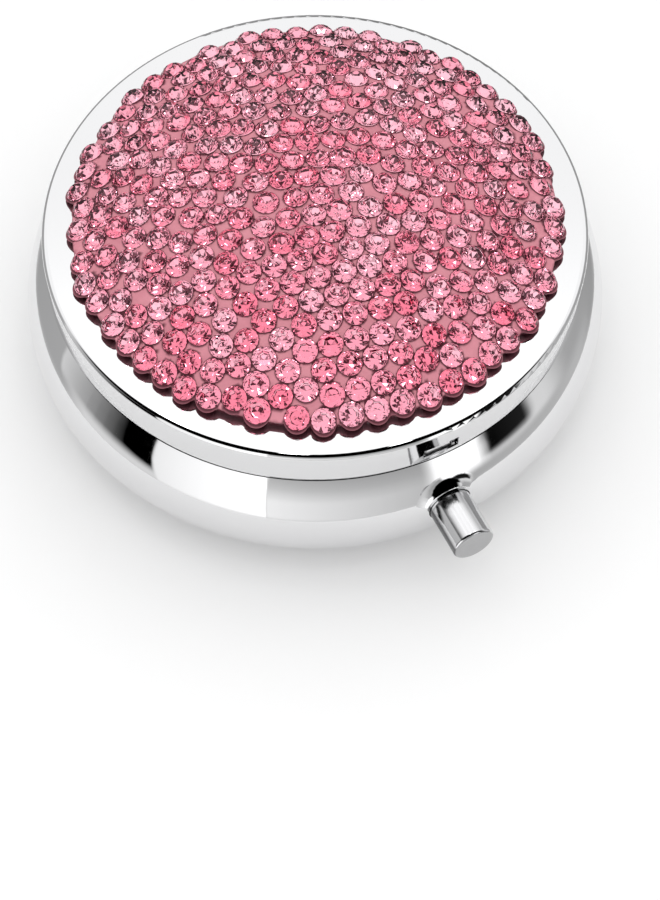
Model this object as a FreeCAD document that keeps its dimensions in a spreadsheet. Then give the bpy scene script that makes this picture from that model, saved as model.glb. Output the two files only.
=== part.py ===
"""Round push-button pill case: chromed case, lid set with rhinestones, tray and mirror.

Millimetres, +Z up. The origin is the centre of the flat foot that the case rests on.
The push button points along -Y and the lid's hinge is at +Y.
"""
import FreeCAD, Part
import math
import os
import random
import re
import Sketcher

DIMENSIONS = {
    # Case: a stamped bowl that bulges to its equator, with a ledge inside the shoulder.
    "BodyRadius": 25.0,
    "EquatorHeight": 6.8,
    "UpperBulge": 9.8,
    "ShoulderHeight": 12.8,
    "ShellGauge": 0.45,
    "ShoulderEdge": 0.18,
    # Neck: the ring that stands out of the bowl and enters the lid.
    "NeckRadius": 22.2,
    "NeckGauge": 0.35,
    "NeckBottom": 10.0,
    "NeckTop": 15.2,
    "NeckRim": 0.14,
    "NotchWidth": 3.6,
    "WindowWidth": 5.8,
    "WindowTop": 10.9,
    # Tray: a moulded cup with three compartments, its flange lying inside the neck.
    "FlangeRadius": 21.5,
    "FlangeTop": 14.6,
    "FlangeGauge": 0.8,
    "MouthRadius": 18.8,
    "FloorRadius": 16.6,
    "FloorTop": 2.6,
    "TrayGauge": 0.8,
    "FootRingRadius": 13.0,
    "HeelWidth": 0.6,
    "HeelHeight": 0.6,
    "WallThinning": 0.1,
    "FloorEdge": 1.2,
    "MouthEdge": 0.25,
    "FlangeEdge": 0.2,
    "DividerTop": 14.2,
    "DividerGauge": 0.9,
    "DividerRoot": 0.2,
    "DividerFoot": 0.3,
    "FlangeNotchWidth": 8.4,
    "FlangeNotchReach": 19.75,
    # Lid: a shallow cap with a rolled edge and a skirt.
    "LidTop": 16.5,
    "LidGauge": 0.4,
    "SkirtRadius": 23.1,
    "SkirtInner": 22.35,
    "SkirtBottom": 12.95,
    "SkirtEdge": 0.15,
    "SkirtDraft": 0.03,
    "DraftTop": 14.9,
    "LidEdge": 0.5,
    "SlotWidth": 3.2,
    "SlotBottom": 13.45,
    "SlotTop": 14.6,
    "PocketWidth": 3.8,
    "PocketReach": 22.9,
    # Mirror, held in the lid by a ring.
    "MirrorRadius": 20.9,
    "MirrorFace": 15.2,
    "MirrorGauge": 0.75,
    "RingRadius": 21.4,
    "RingBottom": 14.9,
    "RingLip": 20.2,
    "RingEdge": 0.12,
    "RingPlay": 0.1,
    "PadMargin": 0.4,
    # Clay bed and stones on the lid.
    "BedRadius": 20.75,
    "BedEdge": 0.6,
    "DomeRadius": 43.5,
    "StoneDiameter": 2.05,
    "StoneTable": 1.12,
    "StoneTip": 0.24,
    "StoneCrown": 0.36,
    "StoneGirdle": 0.08,
    "StoneDepth": 0.8,
    "StoneRise": 0.2,
    "StoneReach": 20.25,
    "StonePitch": 2.15,
    # Hinge.
    "HingeReach": 24.0,
    "HingeHeight": 12.6,
    "PinDiameter": 0.7,
    "PinClearance": 0.04,
    "PinHeadGauge": 0.3,
    "PinHeadRim": 0.2,
    "PinHeadBevel": 0.12,
    "BarrelRadius": 0.62,
    "LeafWidth": 6.4,
    "LeafGauge": 0.4,
    "LeafTop": 14.6,
    "LeafEdge": 0.2,
    "LeafRoot": 0.6,
    "LeafHeel": 0.3,
    "LeafSpread": 0.1,
    "EarInner": 3.25,
    "EarGauge": 0.6,
    "EarFoot": 10.6,
    "EarShoulder": 11.9,
    "EarHeel": 0.1,
    "EarRise": 0.9,
    "EarLean": 0.15,
    "EarPlay": 0.05,
    "WebGauge": 0.3,
    "WebDrop": 0.4,
    # Push button and latch, measured along the button's axis from the case's axis.
    "ButtonHeight": 8.1,
    "ButtonDiameter": 3.7,
    "ButtonClearance": 0.075,
    "ButtonReach": 29.4,
    "ButtonEdge": 0.25,
    "BossReach": 25.04,
    "BossRoot": 23.4,
    "BossDiameter": 6.2,
    "BossTaper": 27.0,
    "BossLip": 0.1,
    "BossFlare": 1.4,
    "CollarInner": 22.75,
    "CollarOuter": 23.15,
    "CollarDiameter": 4.6,
    "StemDiameter": 1.6,
    "StemEnd": 20.0,
    "StemStep": 0.3,
    "HookOuter": 21.75,
    "HookInner": 21.2,
    "HookNose": 22.78,
    "HookWidth": 2.8,
    "HookBottom": 6.8,
    "HookTop": 14.3,
    "NoseBottom": 13.15,
    "NoseLead": 0.7,
    "NoseCorner": 0.4,
    "HookEdge": 0.2,
    "ClipDiameter": 2.5,
    "ClipGauge": 0.3,
    "ClipMouth": 0.9,
    "SpringDiameter": 3.4,
    "SpringWire": 0.22,
    "SpringTurns": 3.0,
    "SeatOuter": 19.3,
    "SeatGauge": 0.25,
    "GuideWidth": 8.0,
    "GuideReach": 21.47,
    "GuideTop": 13.2,
    "GuideFoot": 2.0,
    "GuideKnee": 1.7,
    "GuideLean": 0.2,
    "GuidePlay": 0.15,
    "GuideSlotRoot": 0.75,
    # How far a cutting sketch runs past the material that it cuts.
    "CutMargin": 1.0,
}
STONE_COUNT = 330
STONE_SEED = 11
STONE_TILT = math.radians(6.0)
STONE_SHAKE = 0.5
RIM_WANDER = 0.5
RELAX_ROUNDS = 240
STONE_BANDS = {
    "rhinestones_rim": (19.2, math.inf),
    "rhinestones_outer": (14.6, 19.2),
    "rhinestones_middle": (8.6, 14.6),
    "rhinestones_inner": (0.0, 8.6),
}

# How close a found edge lies to its nominal place, and the least volume that a cut removes.
NEAR = 1e-3
LEAST_CUT = 1e-4

# Heights and radii that follow from the driving dimensions.
SHOULDER = ("(BodyRadius - UpperBulge"
            " + sqrt(UpperBulge^2 - (ShoulderHeight - EquatorHeight)^2))")
LEDGE = "(ShoulderHeight - ShellGauge)"
LEDGE_ROOT = ("(BodyRadius - UpperBulge + sqrt((UpperBulge - ShellGauge)^2"
              " - (ShoulderHeight - ShellGauge - EquatorHeight)^2))")
DOME_DROP = "sqrt(DomeRadius^2 - BedRadius^2)"
NECK_INNER = "(NeckRadius - NeckGauge)"

doc = FreeCAD.newDocument("PillCase")
sheet = doc.addObject("Spreadsheet::Sheet", "Dimensions")
for row, (alias, number) in enumerate(DIMENSIONS.items(), 1):
    sheet.set(f"A{row}", alias)
    sheet.set(f"B{row}", str(number))
    sheet.setAlias(f"B{row}", alias)
doc.recompute()


def bound(text):
    """The expression that another object uses: every alias in text read from the sheet."""
    return re.sub(r"\b[A-Z]\w+", r"Dimensions.\g<0>", text)


def value(text):
    """The number that an expression in the sheet's aliases comes to."""
    return float(sheet.evalExpression(text))


def bind(thing, **properties):
    """Bind an object's properties to the sheet. A double underscore stands for a dot."""
    for path, text in properties.items():
        thing.setExpression(path.replace("__", "."), bound(text))


# ---------------------------------------------------------------- sketches and features

def new_body(name):
    body = doc.addObject("PartDesign::Body", name)
    body.Label = name
    return body


def new_sketch(body, name, plane, offset="0"):
    """A sketch on one of the body's origin planes, moved along its normal by offset."""
    sketch = body.newObject("Sketcher::SketchObject", f"{body.Name}_{name}")
    support = next(f for f in body.Origin.OriginFeatures if f.Role == plane)
    sketch.AttachmentSupport = [(support, "")]
    sketch.MapMode = "FlatFace"
    bind(sketch, AttachmentOffset__Base__z=offset)
    return sketch


def place_point(sketch, geometry, point, x, y):
    """Fix a point of a sketch at the expressions x and y."""
    for kind, axis, text in (("DistanceX", -2, x), ("DistanceY", -1, y)):
        distance = value(text)
        if distance == 0:
            sketch.addConstraint(Sketcher.Constraint("PointOnObject", geometry, point, axis))
            continue
        index = sketch.addConstraint(
            Sketcher.Constraint(kind, -1, 1, geometry, point, distance))
        sketch.setExpression(f"Constraints[{index}]", bound(text))


def add_arc(sketch, start, end, radius):
    """An arc from start to end, anticlockwise for a radius over 0. Returns its end points'
    numbers in the sketch, first start's and then end's."""
    chord = end - start
    rise = math.sqrt(radius ** 2 - chord.Length ** 2 / 4)
    normal = FreeCAD.Vector(-chord.y, chord.x, 0).normalize()
    centre = (start + end) * 0.5 + normal * math.copysign(rise, radius)
    first, last = (start, end) if radius > 0 else (end, start)
    angles = [math.atan2(p.y - centre.y, p.x - centre.x) for p in (first, last)]
    circle = Part.Circle(centre, FreeCAD.Vector(0, 0, 1), abs(radius))
    sketch.addGeometry(Part.ArcOfCircle(circle, angles[0], angles[1]))
    return (1, 2) if radius > 0 else (2, 1)


def add_outline(sketch, corners):
    """A closed outline. A corner is (x, y), or (x, y, radius) where an arc leaves it."""
    points = [FreeCAD.Vector(value(c[0]), value(c[1]), 0) for c in corners]
    first = sketch.GeometryCount
    ends = []
    for index, corner in enumerate(corners):
        start = points[index]
        end = points[(index + 1) % len(points)]
        if len(corner) == 2:
            sketch.addGeometry(Part.LineSegment(start, end))
            ends.append((1, 2))
        else:
            ends.append(add_arc(sketch, start, end, value(corner[2])))
    for index, corner in enumerate(corners):
        geometry = first + index
        after = first + (index + 1) % len(corners)
        sketch.addConstraint(Sketcher.Constraint(
            "Coincident", geometry, ends[index][1], after, ends[(index + 1) % len(corners)][0]))
        place_point(sketch, geometry, ends[index][0], corner[0], corner[1])
        if len(corner) == 3:
            radius = sketch.addConstraint(
                Sketcher.Constraint("Radius", geometry, abs(value(corner[2]))))
            sketch.setExpression(f"Constraints[{radius}]", bound(f"abs({corner[2]})"))


def add_box(sketch, low_x, low_y, high_x, high_y):
    add_outline(sketch, [(low_x, low_y), (high_x, low_y), (high_x, high_y), (low_x, high_y)])


def add_circle(sketch, x, y, diameter):
    centre = FreeCAD.Vector(value(x), value(y), 0)
    geometry = sketch.addGeometry(
        Part.Circle(centre, FreeCAD.Vector(0, 0, 1), value(diameter) / 2))
    place_point(sketch, geometry, 3, x, y)
    index = sketch.addConstraint(Sketcher.Constraint("Diameter", geometry, value(diameter)))
    sketch.setExpression(f"Constraints[{index}]", bound(diameter))


def turn(body, corners):
    """Turn an outline about the body's Z axis. Its corners are radius and height."""
    sketch = new_sketch(body, "section", "XZ_Plane")
    add_outline(sketch, corners)
    feature = body.newObject("PartDesign::Revolution", f"{body.Name}_turning")
    feature.Profile = sketch
    feature.ReferenceAxis = (sketch, ["V_Axis"])
    feature.Angle = 360.0
    doc.recompute()
    return feature


def pad(body, sketch, length, centred=False):
    feature = body.newObject("PartDesign::Pad", f"{sketch.Name}_pad")
    feature.Profile = sketch
    feature.SideType = "Symmetric" if centred else "One side"
    bind(feature, Length=length)
    doc.recompute()
    return feature


def cut(body, sketch, length, backwards=False):
    """Cut a sketch into the body, against its plane's normal, or along it if backwards."""
    before = body.Shape.Volume
    feature = body.newObject("PartDesign::Pocket", f"{sketch.Name}_cut")
    feature.Profile = sketch
    feature.Reversed = backwards
    bind(feature, Length=length)
    doc.recompute()
    if body.Shape.Volume > before - LEAST_CUT:
        raise RuntimeError(f"{feature.Name} cuts nothing")
    return feature


def edges_where(body, wanted):
    """The names of the body's edges for which wanted(edge) holds."""
    names = [f"Edge{i}" for i, edge in enumerate(body.Shape.Edges, 1) if wanted(edge)]
    if not names:
        raise RuntimeError(f"no such edge on {body.Name}")
    return names


def ring_edge(radius, height):
    """A test for the full circles about Z of this radius at this height."""
    def wanted(edge):
        curve = edge.Curve
        return (isinstance(curve, Part.Circle) and abs(curve.Radius - value(radius)) < NEAR
                and abs(curve.Center.z - value(height)) < NEAR)
    return wanted


def round_edges(body, name, radius, wanted):
    base = (body.Tip, edges_where(body, wanted))
    feature = body.newObject("PartDesign::Fillet", f"{body.Name}_{name}")
    feature.Base = base
    bind(feature, Radius=radius)
    doc.recompute()
    return feature


# ---------------------------------------------------------------- the case

def make_base_shell():
    """The bowl, with a raised boss round the button's hole and slots for the hinge ears."""
    body = new_body("base_shell")
    inner_bulge = "(-(UpperBulge - ShellGauge))"
    inner_bowl = "(-(EquatorHeight - ShellGauge))"
    turn(body, [
        ("0", "0"),
        ("BodyRadius - EquatorHeight", "0", "EquatorHeight"),
        ("BodyRadius", "EquatorHeight", "UpperBulge"),
        (SHOULDER, "ShoulderHeight"),
        ("NeckRadius", "ShoulderHeight"),
        ("NeckRadius", LEDGE),
        (LEDGE_ROOT, LEDGE, inner_bulge),
        ("BodyRadius - ShellGauge", "EquatorHeight", inner_bowl),
        ("BodyRadius - EquatorHeight", "ShellGauge"),
        ("0", "ShellGauge"),
    ])
    round_edges(body, "shoulder_edge", "ShoulderEdge", ring_edge(SHOULDER, "ShoulderHeight"))
    boss = new_sketch(body, "boss", "XZ_Plane", "BossRoot")
    add_circle(boss, "0", "ButtonHeight", "BossDiameter")
    feature = pad(body, boss, "BossReach - BossRoot")
    bind(feature, TaperAngle="-BossTaper")
    doc.recompute()
    round_edges(body, "boss_lip", "BossLip", lambda e: isinstance(e.Curve, Part.Circle)
                and abs(e.CenterOfMass.y + value("BossReach")) < NEAR)

    def boss_root(edge):
        """The curve where the boss rises out of the bulge."""
        centre = FreeCAD.Vector(value("BodyRadius - UpperBulge"), value("EquatorHeight"), 0)
        return isinstance(edge.Curve, Part.BSplineCurve) and all(
            abs((FreeCAD.Vector(math.hypot(v.X, v.Y), v.Z, 0) - centre).Length
                - value("UpperBulge")) < NEAR for v in edge.Vertexes)

    round_edges(body, "boss_flare", "BossFlare", boss_root)
    hole = new_sketch(body, "button_hole", "XZ_Plane")
    add_circle(hole, "0", "ButtonHeight", "ButtonDiameter + 2 * ButtonClearance")
    cut(body, hole, "ButtonReach", backwards=True)
    slots = new_sketch(body, "ear_slots", "XZ_Plane")
    for low, high in (("EarInner - EarPlay", "EarInner + EarGauge + EarPlay"),
                      ("-(EarInner + EarGauge + EarPlay)", "-(EarInner - EarPlay)")):
        add_box(slots, low, "EarFoot - 2 * EarPlay", high, "EarShoulder + 2 * EarPlay")
    cut(body, slots, "BodyRadius")
    return body


def make_neck_ring():
    """The ring in the case's mouth, notched for the hook and open behind the button."""
    body = new_body("neck_ring")
    turn(body, [
        (NECK_INNER, "NeckBottom"),
        ("NeckRadius", "NeckBottom"),
        ("NeckRadius", "NeckTop"),
        (NECK_INNER, "NeckTop"),
    ])
    round_edges(body, "rim", "NeckRim", ring_edge("NeckRadius", "NeckTop"))
    notch = new_sketch(body, "hook_notch", "XZ_Plane")
    add_box(notch, "-NotchWidth / 2", "SkirtBottom", "NotchWidth / 2", "NeckTop + CutMargin")
    cut(body, notch, "BodyRadius", backwards=True)
    window = new_sketch(body, "button_window", "XZ_Plane")
    add_box(window, "-WindowWidth / 2", "NeckBottom - CutMargin", "WindowWidth / 2", "WindowTop")
    cut(body, window, "BodyRadius", backwards=True)
    return body


def make_tray():
    """The moulded tray: a flanged cup on a foot ring, with three dividers."""
    body = new_body("compartment_tray")
    under = "(FlangeTop - FlangeGauge)"
    turn(body, [
        ("0", "FloorTop - TrayGauge"),
        ("FootRingRadius", "FloorTop - TrayGauge"),
        ("FootRingRadius", "ShellGauge"),
        ("FootRingRadius + TrayGauge", "ShellGauge"),
        ("FootRingRadius + TrayGauge", "FloorTop - TrayGauge"),
        ("FloorRadius + TrayGauge - HeelWidth", "FloorTop - TrayGauge"),
        ("FloorRadius + TrayGauge", "FloorTop - TrayGauge + HeelHeight"),
        ("MouthRadius + TrayGauge - WallThinning", under),
        ("FlangeRadius", under),
        ("FlangeRadius", "FlangeTop"),
        ("MouthRadius", "FlangeTop"),
        ("FloorRadius", "FloorTop"),
        ("0", "FloorTop"),
    ])
    round_edges(body, "floor_edge", "FloorEdge", ring_edge("FloorRadius", "FloorTop"))
    round_edges(body, "mouth_edge", "MouthEdge", ring_edge("MouthRadius", "FlangeTop"))
    round_edges(body, "flange_edge", "FlangeEdge", ring_edge("FlangeRadius", "FlangeTop"))
    rib = new_sketch(body, "divider", "YZ_Plane")
    add_outline(rib, [
        ("0", "FloorTop - DividerRoot"),
        ("FloorRadius + DividerFoot", "FloorTop - DividerRoot"),
        ("MouthRadius + DividerRoot", "DividerTop"),
        ("0", "DividerTop"),
    ])
    divider = pad(body, rib, "DividerGauge", centred=True)
    ring = body.newObject("PartDesign::PolarPattern", "compartment_tray_dividers")
    ring.Originals = [divider]
    ring.Axis = (next(f for f in body.Origin.OriginFeatures if f.Role == "Z_Axis"), [""])
    ring.Angle = 360.0
    ring.Occurrences = 3
    body.Tip = ring
    doc.recompute()
    notch = new_sketch(body, "latch_notch", "XZ_Plane", "FlangeNotchReach")
    add_box(notch, "-FlangeNotchWidth / 2", f"{under} - CutMargin",
            "FlangeNotchWidth / 2", "FlangeTop + CutMargin")
    cut(body, notch, "BodyRadius - FlangeNotchReach", backwards=True)
    return body


# ---------------------------------------------------------------- the hinge

def make_hinge_bracket():
    """A web inside the shoulder with two ears that come out through the bowl."""
    body = new_body("hinge_bracket")
    ear = new_sketch(body, "ear", "YZ_Plane", "EarInner")
    add_outline(ear, [
        ("NeckRadius", "EarFoot"),
        ("HingeReach + EarHeel", "EarFoot"),
        ("HingeReach + BarrelRadius", "EarFoot + EarRise"),
        ("HingeReach + BarrelRadius", "HingeHeight", "BarrelRadius"),
        ("HingeReach", "HingeHeight + BarrelRadius", "BarrelRadius"),
        ("HingeReach - BarrelRadius", "HingeHeight"),
        ("HingeReach - BarrelRadius + EarLean", "EarShoulder"),
        ("NeckRadius", "EarShoulder"),
    ])
    add_circle(ear, "HingeReach", "HingeHeight", "PinDiameter")
    first = pad(body, ear, "EarGauge")
    pair = body.newObject("PartDesign::Mirrored", "hinge_bracket_pair")
    pair.Originals = [first]
    middle = next(f for f in body.Origin.OriginFeatures if f.Role == "YZ_Plane")
    pair.MirrorPlane = (middle, [""])
    body.Tip = pair
    doc.recompute()
    web = new_sketch(body, "web", "XZ_Plane", "-NeckRadius")
    add_box(web, "-(EarInner + EarGauge)", "EarFoot - WebDrop",
            "EarInner + EarGauge", "EarShoulder - WebDrop")
    feature = pad(body, web, "WebGauge")
    feature.Reversed = True
    doc.recompute()
    return body


def make_hinge_pin():
    """The pin, headed at both ends, lying along X through ears and barrel."""
    body = new_body("hinge_pin")
    inside = "(EarInner + EarGauge)"
    end = "(EarInner + EarGauge + PinHeadGauge)"
    head = "(PinDiameter / 2 + PinHeadRim)"
    face = f"({head} - PinHeadBevel)"
    turn(body, [
        ("0", f"-{end}"),
        (face, f"-{end}"),
        (head, f"-{end} + PinHeadBevel"),
        (head, f"-{inside}"),
        ("PinDiameter / 2", f"-{inside}"),
        ("PinDiameter / 2", inside),
        (head, inside),
        (head, f"{end} - PinHeadBevel"),
        (face, end),
        ("0", end),
    ])
    body.Placement.Rotation = FreeCAD.Rotation(FreeCAD.Vector(0, 1, 0), 90)
    bind(body, Placement__Base__y="HingeReach", Placement__Base__z="HingeHeight")
    return body


def make_hinge_leaf():
    """The lid's leaf: a plate that fits the skirt's curve, rolled into a barrel."""
    body = new_body("lid_hinge_leaf")
    roll = new_sketch(body, "barrel", "YZ_Plane")
    add_circle(roll, "HingeReach", "HingeHeight", "2 * BarrelRadius")
    add_circle(roll, "HingeReach", "HingeHeight", "PinDiameter + 2 * PinClearance")
    pad(body, roll, "LeafWidth", centred=True)
    plate = new_sketch(body, "plate", "YZ_Plane")
    add_outline(plate, [
        ("SkirtRadius - LeafRoot", "SkirtBottom"),
        ("HingeReach - LeafHeel", "SkirtBottom"),
        ("HingeReach", "HingeHeight + BarrelRadius"),
        ("SkirtRadius + LeafGauge + LeafSpread", "SkirtBottom + BarrelRadius"),
        ("SkirtRadius + LeafGauge", "LeafTop - LeafEdge"),
        ("SkirtRadius + LeafGauge - LeafEdge", "LeafTop"),
        ("SkirtRadius - LeafRoot", "LeafTop"),
    ])
    pad(body, plate, "LeafWidth", centred=True)
    skirt = new_sketch(body, "skirt_curve", "XY_Plane", "LeafTop + CutMargin")
    add_circle(skirt, "0", "0", "2 * SkirtRadius")
    cut(body, skirt, "LeafTop")
    return body


# ---------------------------------------------------------------- the latch

def stand_on_button_axis(body):
    """Turn a body made along +Z to point along -Y, on the button's axis."""
    body.Placement.Rotation = FreeCAD.Rotation(FreeCAD.Vector(1, 0, 0), 90)
    bind(body, Placement__Base__z="ButtonHeight")


def make_push_button():
    """The turned button: cap, retaining collar and stepped stem."""
    body = new_body("push_button")
    turn(body, [
        ("0", "StemEnd"),
        ("StemDiameter / 2", "StemEnd"),
        ("StemDiameter / 2", "HookOuter"),
        ("StemDiameter / 2 + StemStep", "HookOuter"),
        ("StemDiameter / 2 + StemStep", "CollarInner"),
        ("CollarDiameter / 2", "CollarInner"),
        ("CollarDiameter / 2", "CollarOuter"),
        ("ButtonDiameter / 2", "CollarOuter"),
        ("ButtonDiameter / 2", "ButtonReach - ButtonEdge", "ButtonEdge"),
        ("ButtonDiameter / 2 - ButtonEdge", "ButtonReach"),
        ("0", "ButtonReach"),
    ])
    stand_on_button_axis(body)
    return body


def make_latch_hook():
    """The plate on the stem that rises to the rim and ends in a nose for the lid's slot."""
    body = new_body("latch_hook")
    side = new_sketch(body, "side", "YZ_Plane")
    add_outline(side, [
        ("-HookOuter", "HookBottom"),
        ("-HookInner", "HookBottom"),
        ("-HookInner", "HookTop - HookEdge"),
        ("-HookInner - HookEdge", "HookTop"),
        ("-(HookNose - NoseLead)", "HookTop"),
        ("-HookNose", "NoseBottom"),
        ("-HookOuter", "NoseBottom"),
    ])
    pad(body, side, "HookWidth", centred=True)
    hole = new_sketch(body, "stem_hole", "XZ_Plane")
    add_circle(hole, "0", "ButtonHeight", "StemDiameter")
    cut(body, hole, "ButtonReach", backwards=True)

    def nose_corner(edge):
        """The edges at the two sides of the nose's leaning face."""
        box = edge.BoundBox
        leaning = box.XLength < NEAR and box.ZLength > NEAR
        return leaning and abs(box.YMin + value("HookNose")) < NEAR

    round_edges(body, "nose", "NoseCorner", nose_corner)
    return body


def make_stem_clip():
    """The spring clip that holds the hook on the stem."""
    body = new_body("stem_clip")
    ring = new_sketch(body, "ring", "XY_Plane", "HookInner - ClipGauge")
    add_circle(ring, "0", "0", "ClipDiameter")
    add_circle(ring, "0", "0", "StemDiameter")
    pad(body, ring, "ClipGauge")
    mouth = new_sketch(body, "mouth", "XY_Plane", "HookInner + CutMargin")
    add_box(mouth, "-ClipMouth / 2", "0", "ClipMouth / 2", "ClipDiameter")
    cut(body, mouth, "HookInner")
    stand_on_button_axis(body)
    return body


def make_button_spring():
    """The coil between the guide and the hook, which returns the button."""
    body = new_body("button_spring")
    wire = new_sketch(body, "wire", "XZ_Plane")
    add_circle(wire, "(SpringDiameter - SpringWire) / 2", "SeatOuter + SpringWire / 2",
               "SpringWire")
    coil = body.newObject("PartDesign::AdditiveHelix", "button_spring_coil")
    coil.Profile = wire
    coil.ReferenceAxis = (wire, ["V_Axis"])
    coil.Mode = "height-turns-angle"
    bind(coil, Height="HookInner - SeatOuter - SpringWire", Turns="SpringTurns")
    doc.recompute()
    stand_on_button_axis(body)
    return body


def make_latch_guide():
    """The folded plate inside the neck: spring seat below, slotted guide for the hook above."""
    body = new_body("latch_guide")
    side = new_sketch(body, "side", "YZ_Plane")
    knee = "(ButtonHeight + GuideKnee)"
    fold = "(SeatOuter + GuideLean)"
    add_outline(side, [
        ("-SeatOuter", "ButtonHeight - GuideFoot"),
        ("-SeatOuter + SeatGauge", "ButtonHeight - GuideFoot"),
        ("-SeatOuter + SeatGauge", knee),
        (f"-{fold}", "GuideTop"),
        ("-GuideReach", "GuideTop"),
        ("-GuideReach", "GuideTop - SeatGauge"),
        (f"-({fold} + SeatGauge)", "GuideTop - SeatGauge"),
        ("-SeatOuter", knee),
    ])
    pad(body, side, "GuideWidth", centred=True)
    slot = new_sketch(body, "hook_slot", "XY_Plane", "GuideTop + CutMargin")
    add_box(slot, "-(HookWidth / 2 + GuidePlay)", "-BodyRadius",
            "HookWidth / 2 + GuidePlay", "-(SeatOuter + GuideSlotRoot)")
    cut(body, slot, "2 * CutMargin")
    hole = new_sketch(body, "stem_hole", "XZ_Plane")
    add_circle(hole, "0", "ButtonHeight", "StemDiameter + 2 * GuideLean")
    cut(body, hole, "ButtonReach", backwards=True)
    return body


# ---------------------------------------------------------------- the lid

def make_lid_shell():
    """The cap: flat top, rounded edge and skirt. At the front the skirt has the latch's slot,
    and inside it a pocket, open below, that lets the hook's nose by as the lid lifts."""
    body = new_body("lid_shell")
    underside = "(LidTop - LidGauge)"
    turn(body, [
        ("0", underside),
        ("SkirtInner", underside),
        ("SkirtInner", "SkirtBottom"),
        ("SkirtRadius - SkirtDraft - SkirtEdge", "SkirtBottom"),
        ("SkirtRadius - SkirtDraft", "SkirtBottom + SkirtEdge"),
        ("SkirtRadius", "DraftTop"),
        ("SkirtRadius", "LidTop - LidEdge", "LidEdge"),
        ("SkirtRadius - LidEdge", "LidTop"),
        ("0", "LidTop"),
    ])
    slot = new_sketch(body, "latch_slot", "XZ_Plane")
    add_box(slot, "-SlotWidth / 2", "SlotBottom", "SlotWidth / 2", "SlotTop")
    cut(body, slot, "BodyRadius", backwards=True)
    pocket = new_sketch(body, "latch_pocket", "XZ_Plane")
    add_box(pocket, "-PocketWidth / 2", "SkirtBottom - CutMargin", "PocketWidth / 2", "SlotTop")
    cut(body, pocket, "PocketReach", backwards=True)
    return body


def make_mirror():
    """The glass disc, silvered side up, facing the tray when the lid is shut."""
    body = new_body("mirror")
    turn(body, [
        ("0", "MirrorFace"),
        ("MirrorRadius", "MirrorFace"),
        ("MirrorRadius", "MirrorFace + MirrorGauge"),
        ("0", "MirrorFace + MirrorGauge"),
    ])
    return body


def make_mirror_pad():
    """The adhesive disc between mirror and lid."""
    body = new_body("mirror_pad")
    turn(body, [
        ("0", "MirrorFace + MirrorGauge"),
        ("MirrorRadius - PadMargin", "MirrorFace + MirrorGauge"),
        ("MirrorRadius - PadMargin", "LidTop - LidGauge"),
        ("0", "LidTop - LidGauge"),
    ])
    return body


def make_mirror_ring():
    """The pressed ring whose lip covers the mirror's edge."""
    body = new_body("mirror_ring")
    turn(body, [
        ("RingLip", "RingBottom + RingEdge"),
        ("RingLip + RingEdge", "RingBottom"),
        ("RingRadius - RingEdge", "RingBottom"),
        ("RingRadius", "RingBottom + RingEdge"),
        ("RingRadius", "LidTop - LidGauge"),
        ("MirrorRadius + RingPlay", "LidTop - LidGauge"),
        ("MirrorRadius + RingPlay", "MirrorFace"),
        ("RingLip", "MirrorFace"),
    ])
    return body


def make_stone_bed():
    """The domed clay bed that the stones are pressed into."""
    body = new_body("stone_bed")
    turn(body, [
        ("0", "LidTop"),
        ("BedRadius", "LidTop"),
        ("BedRadius", "LidTop + BedEdge", "DomeRadius"),
        ("0", f"LidTop + BedEdge + DomeRadius - {DOME_DROP}"),
    ])
    return body


# ---------------------------------------------------------------- the rhinestones

def stone_places():
    """Seeded, hand-set looking places over the dome, as X and Y of each stone's centre.

    They start on a sunflower spiral, shaken, and crowd each other apart. The distance
    between two stones is measured over the dome, so spacing is the same on its slope.
    """
    random.seed(STONE_SEED)
    reach = value("StoneReach")
    pitch = value("StonePitch")
    dome = value("DomeRadius")
    limits = [reach - random.uniform(0.0, RIM_WANDER) for _ in range(STONE_COUNT)]
    places = []
    for index in range(STONE_COUNT):
        radius = reach * math.sqrt((index + 0.5) / STONE_COUNT)
        angle = index * math.pi * (3 - math.sqrt(5))
        places.append([radius * math.cos(angle) + random.uniform(-STONE_SHAKE, STONE_SHAKE),
                       radius * math.sin(angle) + random.uniform(-STONE_SHAKE, STONE_SHAKE)])
    for _ in range(RELAX_ROUNDS):
        order = sorted(range(STONE_COUNT), key=lambda i: places[i][0])
        for rank, first in enumerate(order):
            for second in order[rank + 1:]:
                dx = places[second][0] - places[first][0]
                if dx > pitch:
                    break
                dy = places[second][1] - places[first][1]
                if abs(dy) > pitch:
                    continue
                lean = (places[first][0] * dx + places[first][1] * dy) / dome
                gap = math.sqrt(dx * dx + dy * dy + lean * lean)
                if gap < pitch:
                    push = 0.5 * (pitch - gap) / max(gap, 0.01)
                    places[first][0] -= push * dx
                    places[first][1] -= push * dy
                    places[second][0] += push * dx
                    places[second][1] += push * dy
        for place, limit in zip(places, limits):
            radius = math.hypot(place[0], place[1])
            if radius > limit:
                place[0] *= limit / radius
                place[1] *= limit / radius
    return places


def make_stone():
    """One chaton about its own Z axis, girdle at 0: table, crown, girdle and pavilion."""
    girdle = value("StoneDiameter") / 2
    table = value("StoneTable") / 2
    tip = value("StoneTip") / 2
    top = value("StoneCrown")
    bottom = -value("StoneDepth")
    corners = [(0, bottom), (tip, bottom), (girdle, -value("StoneGirdle")), (girdle, 0.0),
               (table, top), (0, top)]
    wire = Part.makePolygon([FreeCAD.Vector(x, 0, z) for x, z in corners + corners[:1]])
    return Part.Face(wire).revolve(FreeCAD.Vector(), FreeCAD.Vector(0, 0, 1), 360)


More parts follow.
